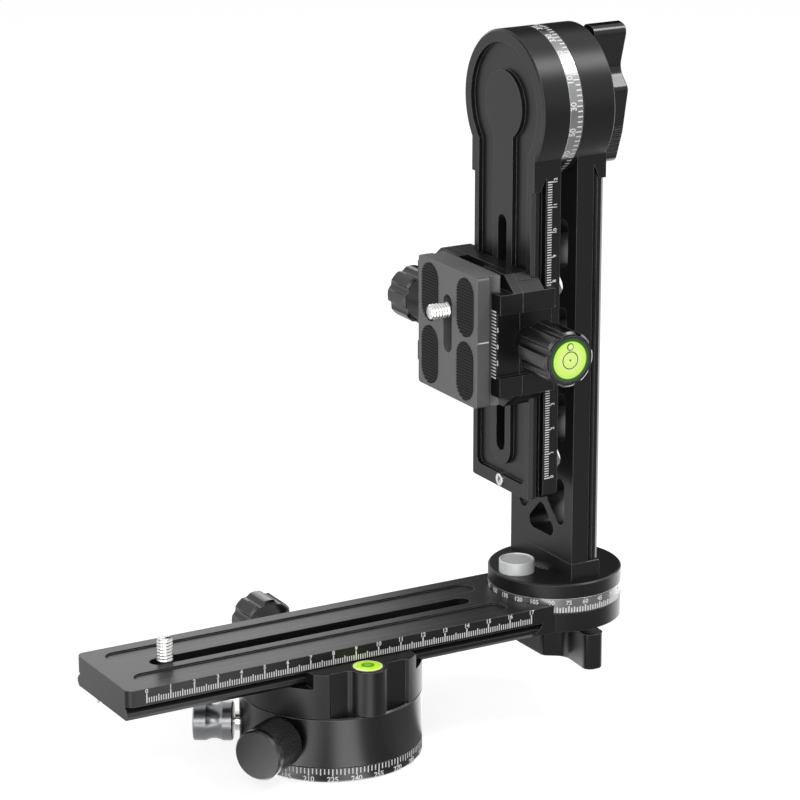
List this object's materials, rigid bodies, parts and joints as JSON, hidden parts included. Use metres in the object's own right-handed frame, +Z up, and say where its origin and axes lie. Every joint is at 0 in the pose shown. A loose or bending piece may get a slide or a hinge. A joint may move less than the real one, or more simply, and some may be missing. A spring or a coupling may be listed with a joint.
{
  "type": "panoramic tripod head",
  "caption": "Pan base with a clamp for a slotted rail, a swivelling upright, a tilting swing arm and a double clamp that holds a quick-release camera plate.",
  "frame": {"origin": "on the pan axis, at the face that sits on the tripod", "axes": "+Z up along the pan axis, +X along the rail towards the upright, +Y away from the engraved scales"},
  "size_m": [0.2302, 0.1201, 0.2814],
  "materials": {
    "black_anodised": "bead-blasted black anodised",
    "steel": "turned steel",
    "black_steel": "blackened steel",
    "bronze": "sintered bronze bush",
    "ptfe": "white slip washer",
    "black_plastic": "moulded black",
    "vial": "yellow-green level",
    "satin_silver": "satin silver anodised",
    "gloss_black": "smooth black anodised",
    "rubber": "ribbed black rubber"
  },
  "bodies": {
    "pan_base": {"base_plate": "black_anodised", "thread_bush": "steel", "pan_spindle": "black_anodised", "base_screws": "black_steel", "spindle_retainer": "steel"},
    "pan_body": {"pan_housing": "black_anodised", "pan_bush": "bronze", "pan_washer": "ptfe", "index_sleeve": "steel", "index_spring": "steel", "base_clamp_body": "black_anodised", "base_clamp_bolts": "black_steel", "base_guide_pins": "steel", "base_level_case": "black_plastic", "base_level_vial": "vial"},
    "index_plunger": {"index_knob": "satin_silver", "index_pin": "steel"},
    "pan_brake": {"pan_brake_shoe": "bronze"},
    "pan_lock": {"pan_lock_knob": "gloss_black", "pan_lock_screw": "steel"},
    "base_jaw": {"base_clamp_jaw": "black_anodised", "base_clamp_washer": "steel"},
    "base_knob": {"base_clamp_knob": "gloss_black", "base_clamp_screw": "steel"},
    "rail_body": {"rail": "black_anodised", "rail_stop_pin": "steel", "swivel_bush": "bronze"},
    "rail_stud_body": {"rail_stud": "steel"},
    "upright_body": {"swivel_disc": "black_anodised", "swivel_scale_ring": "satin_silver", "swivel_bolt": "steel", "foot_block": "black_anodised", "foot_screws": "black_steel", "upright": "black_anodised", "tilt_bush": "bronze", "button_spring": "steel"},
    "swivel_button_body": {"swivel_button": "satin_silver"},
    "swivel_wing": {"swivel_knob": "gloss_black"},
    "arm_body": {"swing_arm": "black_anodised", "tilt_scale_ring": "satin_silver", "tilt_bolt": "steel", "arm_stop_screw": "steel"},
    "tilt_wing": {"tilt_knob": "gloss_black"},
    "arm_clamp": {"plate_clamp_body": "black_anodised", "arm_clamp_sleeve": "black_anodised", "core_screws": "black_steel", "clamp_guide_pins": "steel"},
    "arm_jaw": {"arm_clamp_jaw": "black_anodised"},
    "arm_knob": {"arm_clamp_knob": "gloss_black", "arm_clamp_screw": "steel", "knob_level_case": "black_plastic", "knob_level_vial": "vial"},
    "plate_jaw": {"plate_clamp_jaw": "black_anodised", "plate_knob_washer": "steel"},
    "plate_knob": {"plate_clamp_knob": "gloss_black", "plate_clamp_screw": "steel"},
    "plate_body": {"quick_plate": "black_anodised", "plate_pads": "rubber"},
    "plate_screw": {"plate_camera_screw": "steel"}
  },
  "joints": [
    {"name": "pan", "type": "hinge", "parent": "pan_base", "child": "pan_body", "pos_m": [0, 0, 0.0134], "axis": [0, 0, 1], "continuous": true},
    {"name": "index_pull", "type": "slide", "parent": "pan_body", "child": "index_plunger", "axis": [-0.8572, 0.515, 0], "range_m": [0, 0.0025], "stiffness_N_per_m": 600},
    {"name": "brake_push", "type": "slide", "parent": "pan_body", "child": "pan_brake", "axis": [0.8572, 0.515, 0], "range_m": [0, 0.0002]},
    {"name": "pan_lock_turn", "type": "hinge", "parent": "pan_brake", "child": "pan_lock", "pos_m": [-0.04029, -0.02421, 0.0165], "axis": [0.8572, 0.515, 0], "range_deg": [-30, 150]},
    {"name": "base_jaw_slide", "type": "slide", "parent": "pan_body", "child": "base_jaw", "axis": [0, 1, 0], "range_m": [0, 0.003]},
    {"name": "base_knob_turn", "type": "hinge", "parent": "base_jaw", "child": "base_knob", "pos_m": [0, 0.05, 0.0346], "axis": [0, 1, 0], "range_deg": [-90, 840]},
    {"name": "rail_slide", "type": "slide", "parent": "pan_body", "child": "rail_body", "axis": [1, 0, 0], "range_m": [-0.035, 0.055]},
    {"name": "rail_stud_slide", "type": "slide", "parent": "rail_body", "child": "rail_stud_body", "axis": [1, 0, 0], "range_m": [-0.0028, 0.132]},
    {"name": "swivel", "type": "hinge", "parent": "rail_body", "child": "upright_body", "pos_m": [0.104, 0, 0.05], "axis": [0, 0, 1], "continuous": true},
    {"name": "swivel_button_press", "type": "slide", "parent": "upright_body", "child": "swivel_button_body", "axis": [0, 0, -1], "range_m": [0, 0.0024], "stiffness_N_per_m": 500, "deforming": ["button_spring"]},
    {"name": "swivel_knob_turn", "type": "hinge", "parent": "upright_body", "child": "swivel_wing", "pos_m": [0.104, 0, 0.03], "axis": [0, 0, -1], "range_deg": [0, 360]},
    {"name": "tilt", "type": "hinge", "parent": "upright_body", "child": "arm_body", "pos_m": [0.09, 0, 0.252], "axis": [1, 0, 0], "continuous": true},
    {"name": "tilt_knob_turn", "type": "hinge", "parent": "arm_body", "child": "tilt_wing", "pos_m": [0.12, 0, 0.252], "axis": [1, 0, 0], "range_deg": [0, 360]},
    {"name": "arm_clamp_slide", "type": "slide", "parent": "arm_body", "child": "arm_clamp", "axis": [0, 0, 1], "range_m": [-0.034, 0.028]},
    {"name": "arm_jaw_slide", "type": "slide", "parent": "arm_clamp", "child": "arm_jaw", "axis": [0, -1, 0], "range_m": [0, 0.003]},
    {"name": "arm_knob_turn", "type": "hinge", "parent": "arm_jaw", "child": "arm_knob", "pos_m": [0.0749, -0.045, 0.1632], "axis": [0, -1, 0], "range_deg": [-90, 840]},
    {"name": "plate_jaw_slide", "type": "slide", "parent": "arm_clamp", "child": "plate_jaw", "axis": [0, 1, 0], "range_m": [0, 0.003]},
    {"name": "plate_knob_turn", "type": "hinge", "parent": "plate_jaw", "child": "plate_knob", "pos_m": [0.0726, 0.05, 0.1632], "axis": [0, 1, 0], "range_deg": [-90, 840]},
    {"name": "plate_slide", "type": "slide", "parent": "arm_clamp", "child": "plate_body", "axis": [0, 0, 1], "range_m": [-0.012, 0.012]},
    {"name": "plate_screw_slide", "type": "slide", "parent": "plate_body", "child": "plate_screw", "axis": [0, 0, 1], "range_m": [-0.0135, 0.0025]}
  ],
  "couplings": [
    {"joint": "pan_lock_turn", "follows": "brake_push", "rad_per_m": 7854},
    {"joint": "base_knob_turn", "follows": "base_jaw_slide", "rad_per_m": 4188.8},
    {"joint": "arm_knob_turn", "follows": "arm_jaw_slide", "rad_per_m": 4188.8},
    {"joint": "plate_knob_turn", "follows": "plate_jaw_slide", "rad_per_m": 4188.8}
  ]
}
